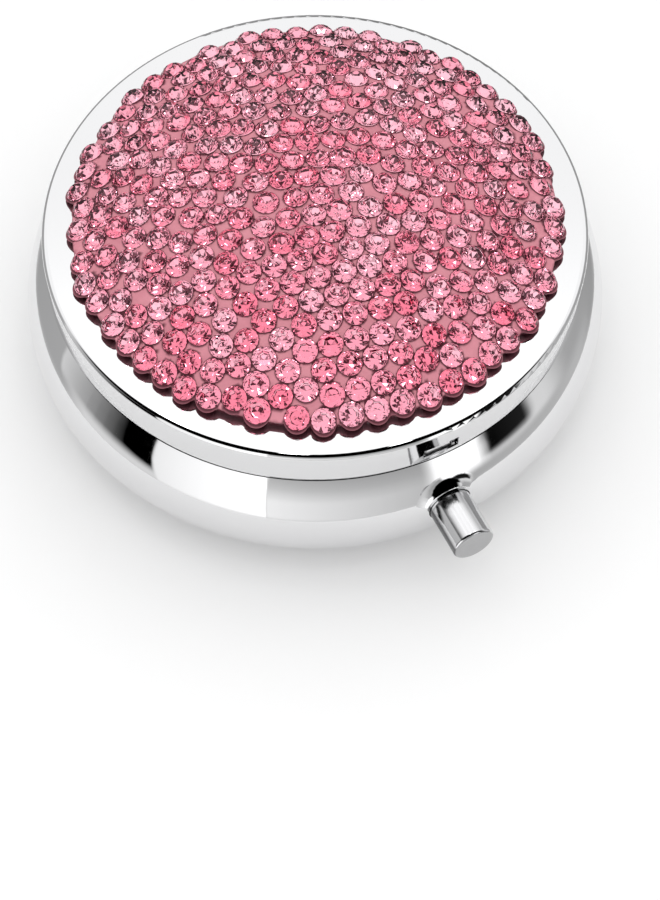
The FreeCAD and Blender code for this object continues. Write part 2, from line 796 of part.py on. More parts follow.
def stone_placement(place):
    """A stone's pose: girdle just above the dome, axis along the dome's normal, tilted."""
    dome = value("DomeRadius")
    centre = FreeCAD.Vector(0, 0, value(f"LidTop + BedEdge - {DOME_DROP}"))
    height = math.sqrt(dome ** 2 - place[0] ** 2 - place[1] ** 2)
    normal = FreeCAD.Vector(place[0], place[1], height).normalize()
    tilt = FreeCAD.Vector(random.uniform(-1, 1), random.uniform(-1, 1), 0) * STONE_TILT
    axis = (normal + tilt).normalize()
    spin = FreeCAD.Rotation(FreeCAD.Vector(0, 0, 1), random.uniform(0, 360))
    lean = FreeCAD.Rotation(FreeCAD.Vector(0, 0, 1), axis)
    return FreeCAD.Placement(centre + normal * (dome + value("StoneRise")), lean.multiply(spin))


def make_rhinestones():
    """All the stones, in one node for each band of the dome."""
    stone = make_stone()
    bands = {name: [] for name in STONE_BANDS}
    placements = [(math.hypot(*p), stone_placement(p)) for p in stone_places()]
    closest = min((a[1].Base - b[1].Base).Length
                  for i, a in enumerate(placements) for b in placements[:i])
    print(f"stones {len(placements)}, closest centres {closest:.3f} mm")
    for radius, placement in placements:
        name = next(n for n, (low, high) in STONE_BANDS.items() if low <= radius < high)
        copy = stone.copy()
        copy.Placement = placement
        bands[name].append(copy)
    nodes = []
    for name, stones in bands.items():
        node = doc.addObject("Part::Feature", name)
        node.Label = name
        node.Shape = Part.makeCompound(stones)
        nodes.append(node)
    return nodes


# ---------------------------------------------------------------- build and export

def main():
    subparts = [
        make_base_shell(),
        make_neck_ring(),
        make_tray(),
        make_hinge_bracket(),
        make_hinge_pin(),
        make_hinge_leaf(),
        make_push_button(),
        make_latch_hook(),
        make_stem_clip(),
        make_button_spring(),
        make_latch_guide(),
        make_lid_shell(),
        make_mirror(),
        make_mirror_pad(),
        make_mirror_ring(),
        make_stone_bed(),
    ]
    subparts += make_rhinestones()
    doc.recompute()
    for thing in doc.Objects:
        if "Invalid" in thing.State or "Error" in thing.State:
            raise RuntimeError(f"{thing.Name} failed: {thing.State}")
    os.makedirs("parts", exist_ok=True)
    for part in subparts:
        shape = part.Shape
        if shape.isNull() or not shape.isValid() or not shape.Solids:
            raise RuntimeError(f"{part.Label} has no valid solid")
        if part.TypeId == "PartDesign::Body" and len(shape.Solids) != 1:
            raise RuntimeError(f"{part.Label} has {len(shape.Solids)} solids")
        shape.exportStep(f"parts/{part.Label}.step")
        print(f"{part.Label}: {len(shape.Solids)} solids, {shape.Volume:.2f} mm3")


main()
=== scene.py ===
import math
import random

import bmesh
import bpy
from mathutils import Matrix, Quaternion, Vector, geometry, noise


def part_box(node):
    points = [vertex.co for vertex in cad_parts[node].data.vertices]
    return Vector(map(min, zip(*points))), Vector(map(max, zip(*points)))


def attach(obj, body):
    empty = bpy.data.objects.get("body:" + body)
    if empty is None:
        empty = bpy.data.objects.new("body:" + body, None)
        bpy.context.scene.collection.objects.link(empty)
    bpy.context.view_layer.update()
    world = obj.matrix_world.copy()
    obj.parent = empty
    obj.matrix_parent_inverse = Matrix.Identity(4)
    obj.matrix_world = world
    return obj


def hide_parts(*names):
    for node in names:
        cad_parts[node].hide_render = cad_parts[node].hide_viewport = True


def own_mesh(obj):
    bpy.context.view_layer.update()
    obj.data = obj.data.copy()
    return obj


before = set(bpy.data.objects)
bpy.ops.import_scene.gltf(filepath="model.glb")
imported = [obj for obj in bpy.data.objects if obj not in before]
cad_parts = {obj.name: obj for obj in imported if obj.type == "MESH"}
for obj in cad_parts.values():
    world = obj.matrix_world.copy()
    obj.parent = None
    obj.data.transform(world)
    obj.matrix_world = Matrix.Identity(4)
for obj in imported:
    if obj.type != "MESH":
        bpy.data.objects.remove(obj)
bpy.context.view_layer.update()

MM = 0.001

# Camera: it turns round the middle of the case, and the case stands off the middle of the picture.
CAMERA_AZIMUTH = math.radians(-26.4)
CAMERA_ELEVATION = math.radians(55.3)
CAMERA_DISTANCE = 0.250
CAMERA_LENS = 114.4
CAMERA_SENSOR = 36.0
EQUATOR = 6.8 * MM
STAND_OFF = (-0.0164, 0.178)

FLOOR_REACH = 1.5
FLOOR_NEAR = 39 * MM
FLOOR_SIDES = 128
BACKDROP = 1.1

# The studio seen by polished surfaces. Each panel is (azimuth from, azimuth to, elevation from,
# elevation to, brightness at its left, brightness at its right, softness of its sides, softness
# of its top and bottom), in degrees, with azimuth 0 on the camera's side and growing to its
# right. A later panel covers an earlier one.
PANELS = [
    (-190, 190, -95, 95, 0.85, 0.85, 1, 1),
    (-190, -90, -34, 20, 0.30, 0.50, 8, 8),
    (90, 190, -34, 20, 0.50, 0.22, 8, 8),
    (-95, 95, 22, 84, 0.0, 0.0, 5, 4),
    (-190, -100, 20, 54, 1.20, 1.20, 10, 3),
    (100, 190, 20, 54, 1.20, 1.20, 10, 3),
    (-190, -100, 54, 95, 1.45, 1.45, 10, 3),
    (100, 190, 54, 95, 1.45, 1.45, 10, 3),
    (-190, 190, 84, 95, 1.45, 1.45, 4, 4),
    (-97, -54, -22, 22, 0.80, -0.28, 1, 6),
    (-54, -15.6, -45, 24, 1.10, 1.55, 1, 4),
    (-15.6, 38, -45, 24, 0.50, 0.38, 1, 4),
    (-15.6, 38, -45, 2, 1.12, 0.62, 1, 15),
    (38, 57, -45, 24, 1.5, 1.5, 4, 4),
    (57, 76, -14, 26, 0.0, 0.02, 3, 6),
    (45, 110, -40, -19, 0.50, 0.6, 8, 6),
    (-190, 190, -95, -32, 0.8, 0.8, 1, 3),
]
# The same for light that comes out of a stone: bright all round, with dark bars.
STONE_PANELS = [
    (-190, 190, -95, 95, 1.24, 1.24, 1, 1),
    (-190, 190, -95, 4, 0.56, 0.56, 1, 6),
    (-150, -112, 8, 60, 0.07, 0.07, 4, 5),
    (-66, -30, 20, 64, 0.07, 0.07, 4, 5),
    (24, 56, 14, 66, 0.07, 0.07, 4, 5),
    (104, 140, 8, 58, 0.07, 0.07, 4, 5),
]
# Small lamps for the stones' glints: (azimuth, elevation, radius, brightness), in degrees.
LAMPS = [
    (-20, 80, 3.0, 12.0),
    (60, 74, 2.5, 10.0),
    (150, 66, 2.5, 10.0),
    (-120, 72, 3.0, 10.0),
]
# A lamp is full out to this part of its radius, and then fades.
LAMP_CORE = 0.6

# A stone's cut: ring radii as parts of the girdle's radius, and depths in metres.
FACETS = 8
TABLE_PART = 0.60
STAR_PART = 0.82
PAVILION_PART = 0.78
WAIST_DEPTH = 0.27
GIRDLE_BAND = 0.08 * MM
PAVILION_DEPTH = 0.92 * MM
SPIN_SEED = 5
STONE_BANDS = ("rim", "outer", "middle", "inner")
# Points of a CAD stone closer than this are one point, and points this near its widest radius
# are on its girdle.
MERGE_DISTANCE = 1e-6
GIRDLE_SHARE = 0.99

# The clay bed: sockets as parts of the girdle's radius and depths below the girdle.
MOUTH_POINTS = 20
MOUTH_PART = 0.95
MOUTH_DEPTH = 0.13 * MM
SOCKET = ((0.65, 0.50 * MM), (0.1, 0.97 * MM))
LIP_PART = 1.15
CLEAR_PART = 1.05
SCALLOP_PART = 1.035
EDGE_POINTS = 720
EDGE_INSET = 0.3 * MM
FOOT_INSET = 0.5 * MM
EDGE_DROP = 0.06 * MM
BED_EDGE = 0.6 * MM
CLAY_STEP = 0.45 * MM
CLAY_RISE = 0.09 * MM
CLAY_REACH = 0.22 * MM
CLAY_LUMP = 0.03 * MM
LUMPS_PER_METRE = 420.0
GRID_CELL = 3 * MM
ROW_PART = math.sqrt(0.75)
CDT_INSIDE = 1
CDT_EPSILON = 1e-7
CREASE = math.radians(48)
# Painted shade is marked on the clay from 0 on open clay to 1 under a stone and at the bed's foot,
# so the clay is painted dark round each stone and down its edge wall. This is the mark at the bed's
# upper edge.
EDGE_PAINTED_SHADE = 0.5

# The button's spring: its wire, its turns, and how much closer its turns lie at its ends.
SPRING_WIRE = 0.22 * MM
SPRING_TURNS = 3
SPRING_CLOSE = 0.4
SPRING_STEPS = 144
WIRE_SIDES = 12


# ---------------------------------------------------------------- nodes

def node(tree, kind, inputs=None, **settings):
    """A shader node. Each input is a value, or an output socket to link."""
    made = tree.nodes.new(f"ShaderNode{kind}")
    for name, setting in settings.items():
        setattr(made, name, setting)
    for name, content in (inputs or {}).items():
        if isinstance(content, bpy.types.NodeSocket):
            tree.links.new(content, made.inputs[name])
        else:
            made.inputs[name].default_value = content
    return made


def compute(tree, operation, first, second=0.0):
    return node(tree, "Math", {0: first, 1: second}, operation=operation).outputs[0]


def remap(tree, content, low, high, to_low=0.0, to_high=1.0, smooth=False):
    made = node(tree, "MapRange", {"Value": content, "From Min": low, "From Max": high,
                                   "To Min": to_low, "To Max": to_high})
    made.interpolation_type = "SMOOTHSTEP" if smooth else "LINEAR"
    return made.outputs["Result"]


def mix_values(tree, part, first, second):
    made = node(tree, "Mix", {"Factor": part, "A": first, "B": second}, data_type="FLOAT")
    return made.outputs["Result"]


def mix_colours(tree, part, first, second):
    made = node(tree, "MixRGB", {"Fac": part, "Color1": first, "Color2": second})
    return made.outputs["Color"]


def grain(tree, scale, detail=3.0, stretch=(1, 1, 1)):
    """Noise from 0 to 1 in the piece's own space, at scale features to the metre."""
    place = node(tree, "TexCoord").outputs["Object"]
    stretched = node(tree, "Mapping", {"Vector": place, "Scale": stretch}).outputs["Vector"]
    made = node(tree, "TexNoise", {"Vector": stretched, "Scale": scale, "Detail": detail})
    return made.outputs["Fac"]


def material(name):
    """A new material with its node tree and its Principled shader."""
    made = bpy.data.materials.new(name)
    made.use_nodes = True
    shader = made.node_tree.nodes["Principled BSDF"]
    return made, made.node_tree, shader


def set_input(tree, shader, name, content):
    if isinstance(content, bpy.types.NodeSocket):
        tree.links.new(content, shader.inputs[name])
    else:
        shader.inputs[name].default_value = content


def add_bump(tree, shader, height, distance, strength=1.0):
    bump = node(tree, "Bump", {"Height": height, "Distance": distance, "Strength": strength})
    tree.links.new(bump.outputs["Normal"], shader.inputs["Normal"])


# ---------------------------------------------------------------- materials

def metal(name, light, dark, roughness, spread, wave=0.0):
    """Polished or brushed metal: colour and roughness wander, and the surface waves a little."""
    made, tree, shader = material(name)
    broad = grain(tree, 90.0)
    fine = grain(tree, 2600.0, detail=5.0)
    set_input(tree, shader, "Metallic", 1.0)
    set_input(tree, shader, "Base Color", mix_colours(tree, broad, (*dark, 1), (*light, 1)))
    set_input(tree, shader, "Roughness", remap(tree, fine, 0.3, 0.7, roughness, roughness + spread))
    if wave:
        add_bump(tree, shader, broad, wave)
    return made


def chrome(name):
    return metal(name, (0.77, 0.77, 0.775), (0.74, 0.74, 0.75), 0.02, 0.035, wave=0.004 * MM)


def painted_reflection_nickel(name):
    """Nickel with painted reflections: dark and light streaks along Y, and a face at the end
    painted a plain darker grey as shade.
    """
    made, tree, shader = material(name)
    reflection_streaks = grain(tree, 620.0, detail=2.0, stretch=(1, 0.03, 1))
    fine = grain(tree, 2600.0, detail=4.0)
    place = node(tree, "TexCoord")
    along = node(tree, "SeparateXYZ", {"Vector": place.outputs["Normal"]}).outputs["Y"]
    shaded_end = remap(tree, compute(tree, "ABSOLUTE", along), 0.7, 0.9)
    # Painted reflections: the streaks run from near black to light grey along Y.
    tint = mix_colours(tree, remap(tree, reflection_streaks, 0.38, 0.62, smooth=True),
                       (0.12, 0.12, 0.125, 1), (0.72, 0.72, 0.73, 1))
    # Painted shade: the end face is a plain dark grey.
    plain = mix_colours(tree, fine, (0.38, 0.38, 0.385, 1), (0.44, 0.44, 0.445, 1))
    set_input(tree, shader, "Metallic", 1.0)
    set_input(tree, shader, "Base Color", mix_colours(tree, shaded_end, tint, plain))
    set_input(tree, shader, "Roughness", remap(tree, fine, 0.3, 0.7, 0.07, 0.14))
    return made


def brushed(name, light, dark):
    """Metal drawn along X, with fine lines."""
    made, tree, shader = material(name)
    lines = grain(tree, 700.0, detail=6.0, stretch=(0.05, 1, 1))
    set_input(tree, shader, "Metallic", 1.0)
    set_input(tree, shader, "Base Color", mix_colours(tree, lines, (*dark, 1), (*light, 1)))
    set_input(tree, shader, "Roughness", remap(tree, lines, 0.2, 0.8, 0.22, 0.4))
    add_bump(tree, shader, lines, 0.01 * MM)
    return made


def plastic(name):
    """Glossy moulded white plastic with a faint texture and light inside it."""
    made, tree, shader = material(name)
    fine = grain(tree, 1800.0, detail=4.0)
    broad = grain(tree, 110.0)
    tint = mix_colours(tree, broad, (0.86, 0.865, 0.87, 1), (0.91, 0.91, 0.91, 1))
    set_input(tree, shader, "Base Color", tint)
    set_input(tree, shader, "Roughness", remap(tree, fine, 0.3, 0.7, 0.24, 0.34))
    set_input(tree, shader, "Subsurface Weight", 0.15)
    set_input(tree, shader, "Subsurface Radius", (0.8 * MM, 0.8 * MM, 0.8 * MM))
    set_input(tree, shader, "Subsurface Scale", 1.0)
    add_bump(tree, shader, fine, 0.002 * MM)
    return made


def mirror_glass(name):
    """Silvered glass with faint smears."""
    made, tree, shader = material(name)
    smear = grain(tree, 160.0, detail=5.0, stretch=(1, 0.3, 1))
    set_input(tree, shader, "Metallic", 1.0)
    silver = mix_colours(tree, smear, (0.86, 0.87, 0.87, 1), (0.90, 0.91, 0.91, 1))
    set_input(tree, shader, "Base Color", silver)
    set_input(tree, shader, "Roughness", remap(tree, smear, 0.45, 0.8, 0.004, 0.03))
    set_input(tree, shader, "Coat Weight", 1.0)
    set_input(tree, shader, "Coat Roughness", 0.01)
    return made


def foam(name):
    """The pale adhesive foam behind the mirror."""
    made, tree, shader = material(name)
    cells = grain(tree, 3200.0, detail=2.0)
    tint = mix_colours(tree, cells, (0.60, 0.60, 0.57, 1), (0.78, 0.78, 0.75, 1))
    set_input(tree, shader, "Base Color", tint)
    set_input(tree, shader, "Roughness", 0.9)
    add_bump(tree, shader, cells, 0.05 * MM)
    return made


def clay(name):
    """Dusty pink clay: matt, slightly mottled, smoothed by hand, with painted shade round the
    stones and down its edge.
    """
    made, tree, shader = material(name)
    mottle = grain(tree, 500.0, detail=5.0)
    fine = grain(tree, 5200.0, detail=3.0)
    painted_shade = node(tree, "Attribute", attribute_name="painted_shade").outputs["Fac"]
    open_clay = mix_colours(tree, remap(tree, mottle, 0.3, 0.7), (0.62, 0.215, 0.27, 1),
                            (0.72, 0.28, 0.335, 1))
    # Painted shade: where the mark is high the clay turns dark maroon, round each stone and down
    # the bed's edge wall.
    tint = mix_colours(tree, remap(tree, painted_shade, 0.05, 0.85, smooth=True), open_clay,
                       (0.11, 0.012, 0.026, 1))
    set_input(tree, shader, "Base Color", tint)
    set_input(tree, shader, "Roughness", remap(tree, fine, 0.3, 0.7, 0.48, 0.66))
    add_bump(tree, shader, fine, 0.02 * MM)
    return made


def stone_glass(name):
    """The clear crown of a stone, tinted a little by its own lot."""
    made, tree, shader = material(name)
    lot = node(tree, "Attribute", attribute_name="lot").outputs["Fac"]
    tint = mix_colours(tree, lot, (0.985, 0.53, 0.62, 1), (0.995, 0.70, 0.77, 1))
    wear = grain(tree, 4000.0)
    set_input(tree, shader, "Base Color", tint)
    set_input(tree, shader, "Transmission Weight", 1.0)
    set_input(tree, shader, "IOR", 1.56)
    set_input(tree, shader, "Specular Tint", (1.0, 0.40, 0.52, 1))
    set_input(tree, shader, "Roughness", remap(tree, wear, 0.45, 0.8, 0.0, 0.012))
    return made


def stone_foil(name):
    """The pink foil on the stone's pavilion, which throws the light back through the crown."""
    made, tree, shader = material(name)
    lot = node(tree, "Attribute", attribute_name="lot").outputs["Fac"]
    wear = grain(tree, 1500.0)
    tint = mix_colours(tree, lot, (0.965, 0.60, 0.68, 1), (0.985, 0.75, 0.81, 1))
    set_input(tree, shader, "Base Color", tint)
    set_input(tree, shader, "Metallic", 1.0)
    set_input(tree, shader, "Roughness", remap(tree, wear, 0.3, 0.7, 0.0, 0.02))
    return made


def floor_paint(name):
    made, tree, shader = material(name)
    broad = grain(tree, 9.0, detail=2.0)
    tint = mix_colours(tree, broad, (0.93, 0.93, 0.93, 1), (0.95, 0.95, 0.95, 1))
    set_input(tree, shader, "Base Color", tint)
    set_input(tree, shader, "Roughness", 0.85)
    set_input(tree, shader, "Specular IOR Level", 0.1)
    return made


def paint(name, finish):
    """Give a CAD node this finish."""
    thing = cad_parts[name]
    if not thing.material_slots:
        thing.data.materials.append(finish)
    for place in thing.material_slots:
        place.material = finish


# ---------------------------------------------------------------- the stones

def stone_seats(name):
    """For every stone of a CAD node: girdle centre, axis, girdle radius and crown height."""
    work = bmesh.new()
    work.from_mesh(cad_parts[name].data)
    bmesh.ops.remove_doubles(work, verts=work.verts, dist=MERGE_DISTANCE)
    seats = []
    unseen = set(work.verts)
    while unseen:
        edge = [unseen.pop()]
        island = list(edge)
        while edge:
            for link in edge.pop().link_edges:
                for vertex in link.verts:
                    if vertex in unseen:
                        unseen.remove(vertex)
                        edge.append(vertex)
                        island.append(vertex)
        seats.append(read_seat(island))
    work.free()
    seats.sort(key=lambda seat: tuple(round(c, 6) for c in seat[0]))
    return seats


def read_seat(island):
    """The table is the widest flat of a stone, so its normal is the stone's axis."""
    flats = {}
    for face in {f for vertex in island for f in vertex.link_faces}:
        key = tuple(round(c, 3) for c in face.normal)
        area, faces = flats.get(key, (0.0, []))
        flats[key] = (area + face.calc_area(), faces + [face])
    table = max(flats.values(), key=lambda flat: flat[0])[1]
    axis = sum((f.normal for f in table), Vector()).normalized()
    corners = {v for f in table for v in f.verts}
    middle = sum((v.co for v in corners), Vector()) / len(corners)
    from_table = [v.co - middle for v in island]
    heights = [p.dot(axis) for p in from_table]
    radii = [(p - axis * h).length for p, h in zip(from_table, heights)]
    widest = max(radii)
    girdle = max(h for h, r in zip(heights, radii) if r > GIRDLE_SHARE * widest)
    return middle + axis * girdle, axis, widest, -girdle


def stone_points(radius, crown):
    """The cut stone's points about its own axis, ring by ring, girdle top at 0."""
    table = TABLE_PART * radius
    star = STAR_PART * radius
    step = math.pi / FACETS
    slope = crown / (radius - table)
    star_height = crown - (star * math.cos(step) - table) * slope
    waist = PAVILION_PART * radius
    waist_height = -GIRDLE_BAND - (PAVILION_DEPTH - GIRDLE_BAND) * WAIST_DEPTH
    rings = [
        (FACETS, table, crown, 0.0),
        (FACETS, star, star_height, step),
        (2 * FACETS, radius, 0.0, 0.0),
        (2 * FACETS, radius, -GIRDLE_BAND, 0.0),
        (FACETS, waist, waist_height, 0.0),
    ]
    points = [Vector((r * math.cos(start + 2 * math.pi * i / count),
                      r * math.sin(start + 2 * math.pi * i / count), height))
              for count, r, height, start in rings for i in range(count)]
    return points + [Vector((0, 0, -PAVILION_DEPTH))]


def stone_faces():
    """The stone's facets as point numbers, crown and girdle first, then the foiled pavilion."""
    table = 0
    star = FACETS
    top = 2 * FACETS
    low = 4 * FACETS
    waist = 6 * FACETS
    culet = 7 * FACETS
    crown = [tuple(range(table, table + FACETS))]
    pavilion = []
    for i in range(FACETS):
        after = (i + 1) % FACETS
        before = (i - 1) % FACETS
        here = 2 * i
        between = here + 1
        beyond = (here + 2) % (2 * FACETS)
        previous = (here - 1) % (2 * FACETS)
        crown += [
            (star + i, table + after, table + i),
            (table + i, star + before, top + here, star + i),
            (star + i, top + here, top + between),
            (star + i, top + between, top + beyond),
            (top + here, low + here, low + between, top + between),
            (top + between, low + between, low + beyond, top + beyond),
        ]
        pavilion += [
            (waist + i, low + between, low + here),
            (waist + i, low + here, low + previous),
            (waist + i, waist + after, low + between),
            (culet, waist + after, waist + i),
        ]
    return crown, pavilion


def make_stones(band, seats, glass, foil):
    """One band of cut stones, each turned at random about its own axis."""
    rng = random.Random(f"{SPIN_SEED}{band}")
    crown, pavilion = stone_faces()
    points = []
    faces = []
    finishes = []
    lots = []
    for centre, axis, radius, height in seats:
        turn = axis.to_track_quat("Z", "Y") @ Quaternion((0, 0, 1), rng.uniform(0, math.tau))
        lot = rng.random()
        first = len(points)
        points += [centre + turn @ point for point in stone_points(radius, height)]
        for index, group in enumerate((crown, pavilion)):
            faces += [tuple(first + corner for corner in face) for face in group]
            finishes += [index] * len(group)
            lots += [lot] * len(group)
    mesh = bpy.data.meshes.new(f"cut_stones_{band}")
    mesh.from_pydata([tuple(p) for p in points], [], faces)
    mesh.materials.append(glass)
    mesh.materials.append(foil)
    mesh.polygons.foreach_set("material_index", finishes)
    mesh.attributes.new("lot", "FLOAT", "FACE").data.foreach_set("value", lots)
    mesh.update()
    face_outwards(mesh)
    piece = add_piece(f"cut_stones_{band}", mesh, "lid")
    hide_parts(f"rhinestones_{band}")


def face_outwards(mesh):
    """Turn every face's normal to the outside."""
    work = bmesh.new()
    work.from_mesh(mesh)
    bmesh.ops.recalc_face_normals(work, faces=work.faces)
    work.to_mesh(mesh)
    work.free()


def add_piece(name, mesh, body):
    """A new object for a finished mesh, with the finishes its mesh holds. It rides on a CAD body.
    """
    piece = bpy.data.objects.new(name, mesh)
    bpy.context.scene.collection.objects.link(piece)
    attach(piece, body)
    return piece


# ---------------------------------------------------------------- the clay bed

def around(seat, part, depth, count):
    """Points on a circle about a stone's axis, at this depth below its girdle."""
    centre, axis, radius, crown = seat
    turn = axis.to_track_quat("Z", "Y")
    middle = centre - axis * depth
    return [middle + turn @ Vector((part * radius * math.cos(math.tau * i / count),
                                    part * radius * math.sin(math.tau * i / count), 0))
            for i in range(count)]


class Clay:
    """The clay's surface between the stones, and which stones are near a place."""

    def __init__(self, seats):
        low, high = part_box("stone_bed")
        self.radius = high.x
        self.foot = low.z
        self.top = high.z
        rise = high.z - low.z - BED_EDGE
        self.dome = (self.radius ** 2 + rise ** 2) / (2 * rise)
        self.cell = GRID_CELL
        self.grid = {}
        for seat in seats:
            self.grid.setdefault(self.square(seat[0].x, seat[0].y), []).append(seat)

    def square(self, x, y):
        return math.floor(x / self.cell), math.floor(y / self.cell)

    def near(self, x, y):
        column, row = self.square(x, y)
        return [seat for i in (-1, 0, 1) for j in (-1, 0, 1)
                for seat in self.grid.get((column + i, row + j), [])]

    def point(self, x, y):
        """The dome, pushed up into a low lip round each stone and slightly lumpy."""
        here = Vector((x, y, self.top - self.dome + math.sqrt(self.dome ** 2 - x ** 2 - y ** 2)))
        gap = min(((here - seat[0]).length - seat[2] for seat in self.near(x, y)), default=1.0)
        here.z += CLAY_RISE * math.exp(-max(gap, 0.0) / CLAY_REACH)
        here.z += CLAY_LUMP * noise.noise(here * LUMPS_PER_METRE)
        return here

    def is_clear(self, place):
        """Whether a place lies outside every socket."""
        return all(math.hypot(place.x - seat[0].x, place.y - seat[0].y) > CLEAR_PART * seat[2]
                   for seat in self.near(place.x, place.y))


def scalloped_edge(clay, seats):
    """The bed's outline: a circle that bulges out round the stones at the rim."""
    edge = []
    for i in range(EDGE_POINTS):
        angle = math.tau * i / EDGE_POINTS
        reach = clay.radius - EDGE_INSET
        for centre, axis, radius, crown in seats:
            along = centre.x * math.cos(angle) + centre.y * math.sin(angle)
            aside = centre.y * math.cos(angle) - centre.x * math.sin(angle)
            inside = (SCALLOP_PART * radius) ** 2 - aside ** 2
            if along > 0 and inside > 0:
                reach = max(reach, along + math.sqrt(inside))
        place = clay.point(reach * math.cos(angle), reach * math.sin(angle))
        place.z -= EDGE_DROP
        edge.append(place)
    return edge


def clay_points(clay, seats, edge):
    """Free points of the clay's surface: a lip round each stone and an even grid between."""
    rim = [place.xy.length for place in edge]
    spots = [spot for seat in seats for spot in around(seat, LIP_PART, 0.0, MOUTH_POINTS)]
    rows = math.ceil(clay.radius / (CLAY_STEP * ROW_PART))
    columns = math.ceil(clay.radius / CLAY_STEP)
    for row in range(-rows, rows + 1):
        for column in range(-columns, columns + 1):
            spots.append(Vector(((column + row % 2 / 2) * CLAY_STEP,
                                 row * CLAY_STEP * ROW_PART, 0)))
    kept = []
    for spot in spots:
        angle = math.atan2(spot.y, spot.x) % math.tau
        reach = rim[round(angle / math.tau * EDGE_POINTS) % EDGE_POINTS]
        if spot.xy.length < reach - CLAY_STEP / 4 and clay.is_clear(spot):
            kept.append(clay.point(spot.x, spot.y))
    return kept


def loop(first, count):
    """The edges of a closed ring of count points."""
    return [(first + i, first + (i + 1) % count) for i in range(count)]


def make_bed(seats, finish):
    """The clay bed: a domed disc with a socket for each stone and an edge that tapers in."""
    clay = Clay(seats)
    edge = scalloped_edge(clay, seats)
    points = list(edge)
    rims = loop(0, EDGE_POINTS)
    mouths = []
    for seat in seats:
        mouths.append(len(points))
        rims += loop(len(points), MOUTH_POINTS)
        points += around(seat, MOUTH_PART, MOUTH_DEPTH, MOUTH_POINTS)
    free = len(points)
    points += clay_points(clay, seats, edge)
    flat, sides, triangles, sources, *rest = geometry.delaunay_2d_cdt(
        [point.xy for point in points], rims, [], CDT_INSIDE, CDT_EPSILON)
    surface = [points[source[0]] for source in sources]
    place_of = {old: new for new, source in enumerate(sources) for old in source}
    # Painted shade marks: half at the bed's upper edge, full at the stones' mouths, in the sockets
    # and at the foot, none on open clay.
    painted_shade_marks = [EDGE_PAINTED_SHADE if source[0] < EDGE_POINTS else float(source[0] < free)
              for source in sources]

    def stone_at(corner):
        """The number of the stone whose mouth this corner is on, or None."""
        old = sources[corner][0]
        return (old - EDGE_POINTS) // MOUTH_POINTS if EDGE_POINTS <= old < free else None

    faces = []
    for corners in triangles:
        stones = {stone_at(corner) for corner in corners}
        if len(stones) > 1 or None in stones:
            faces.append(tuple(corners))
    for seat, first in zip(seats, mouths):
        ring = [place_of[first + i] for i in range(MOUTH_POINTS)]
        for part, depth in SOCKET:
            deeper = list(range(len(surface), len(surface) + MOUTH_POINTS))
            surface += around(seat, part, depth, MOUTH_POINTS)
            faces += wall(ring, deeper)
            ring = deeper
        faces.append(tuple(ring))
    ring = [place_of[i] for i in range(EDGE_POINTS)]
    foot = list(range(len(surface), len(surface) + EDGE_POINTS))
    shrink = clay.radius - FOOT_INSET
    surface += [Vector((*(place.xy.normalized() * shrink), clay.foot)) for place in edge]
    faces += wall(foot, ring)
    faces.append(tuple(reversed(foot)))
    painted_shade_marks += [1.0] * (len(surface) - len(painted_shade_marks))
    mesh = bpy.data.meshes.new("clay_bed")
    mesh.from_pydata([tuple(p) for p in surface], [], faces)
    mesh.attributes.new("painted_shade", "FLOAT", "POINT").data.foreach_set("value", painted_shade_marks)
    mesh.materials.append(finish)
    face_outwards(mesh)
    mesh.shade_smooth()
    mesh.set_sharp_from_angle(angle=CREASE)
    piece = add_piece("clay_bed", mesh, "lid")
    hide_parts("stone_bed")


def wall(ring, after):
    """Quads between two rings of as many points."""
    count = len(ring)
    return [(ring[i], ring[(i + 1) % count], after[(i + 1) % count], after[i])
            for i in range(count)]


# ---------------------------------------------------------------- the button's spring

def make_spring(finish):
    """The coil about Y between the guide and the hook."""
    low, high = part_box("button_spring")
    forward = Vector((0, 1, 0))
    middle = (low + high) / 2
    reach = (high.x - low.x - SPRING_WIRE) / 2
    length = high.y - low.y
    points = []
    faces = []
    for step in range(SPRING_STEPS + 1):
        part = step / SPRING_STEPS
        outward = Quaternion(forward, math.tau * SPRING_TURNS * part) @ Vector((0, 0, 1))
        along = part - SPRING_CLOSE * math.sin(math.tau * part) / math.tau - 0.5
        centre = middle + outward * reach + forward * (length - SPRING_WIRE) * along
        first = len(points)
        for side in range(WIRE_SIDES):
            angle = math.tau * side / WIRE_SIDES
            spoke = outward * math.cos(angle) + forward * math.sin(angle)
            points.append(centre + spoke * SPRING_WIRE / 2)
        if step:
            faces += wall(range(first - WIRE_SIDES, first), range(first, first + WIRE_SIDES))
    faces.append(tuple(reversed(range(WIRE_SIDES))))
    faces.append(tuple(range(len(points) - WIRE_SIDES, len(points))))
    mesh = bpy.data.meshes.new("coiled_spring")
    mesh.from_pydata([tuple(p) for p in points], [], faces)
    mesh.materials.append(finish)
    face_outwards(mesh)
    mesh.shade_smooth()
    mesh.set_sharp_from_angle(angle=CREASE)
    piece = add_piece("coiled_spring", mesh, "case")
    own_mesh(piece)
    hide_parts("button_spring")


# ---------------------------------------------------------------- studio and camera

def band(tree, content, low, high, soft):
    """1 between low and high, falling smoothly to 0 outside."""
    rising = remap(tree, content, low - soft, low + soft, smooth=True)
    falling = remap(tree, content, high - soft, high + soft, 1.0, 0.0, smooth=True)
    return compute(tree, "MULTIPLY", rising, falling)


def lay_panels(tree, azimuth, elevation, panels):
    """The brightness that a list of panels gives in each direction, never below 0."""
    level = 0.0
    for left, right, low, high, at_left, at_right, sides, ends in panels:
        mask = compute(tree, "MULTIPLY", band(tree, azimuth, left, right, sides),
                       band(tree, elevation, low, high, ends))
        level = mix_values(tree, mask, level, remap(tree, azimuth, left, right, at_left, at_right))
    return compute(tree, "MAXIMUM", level, 0.0)


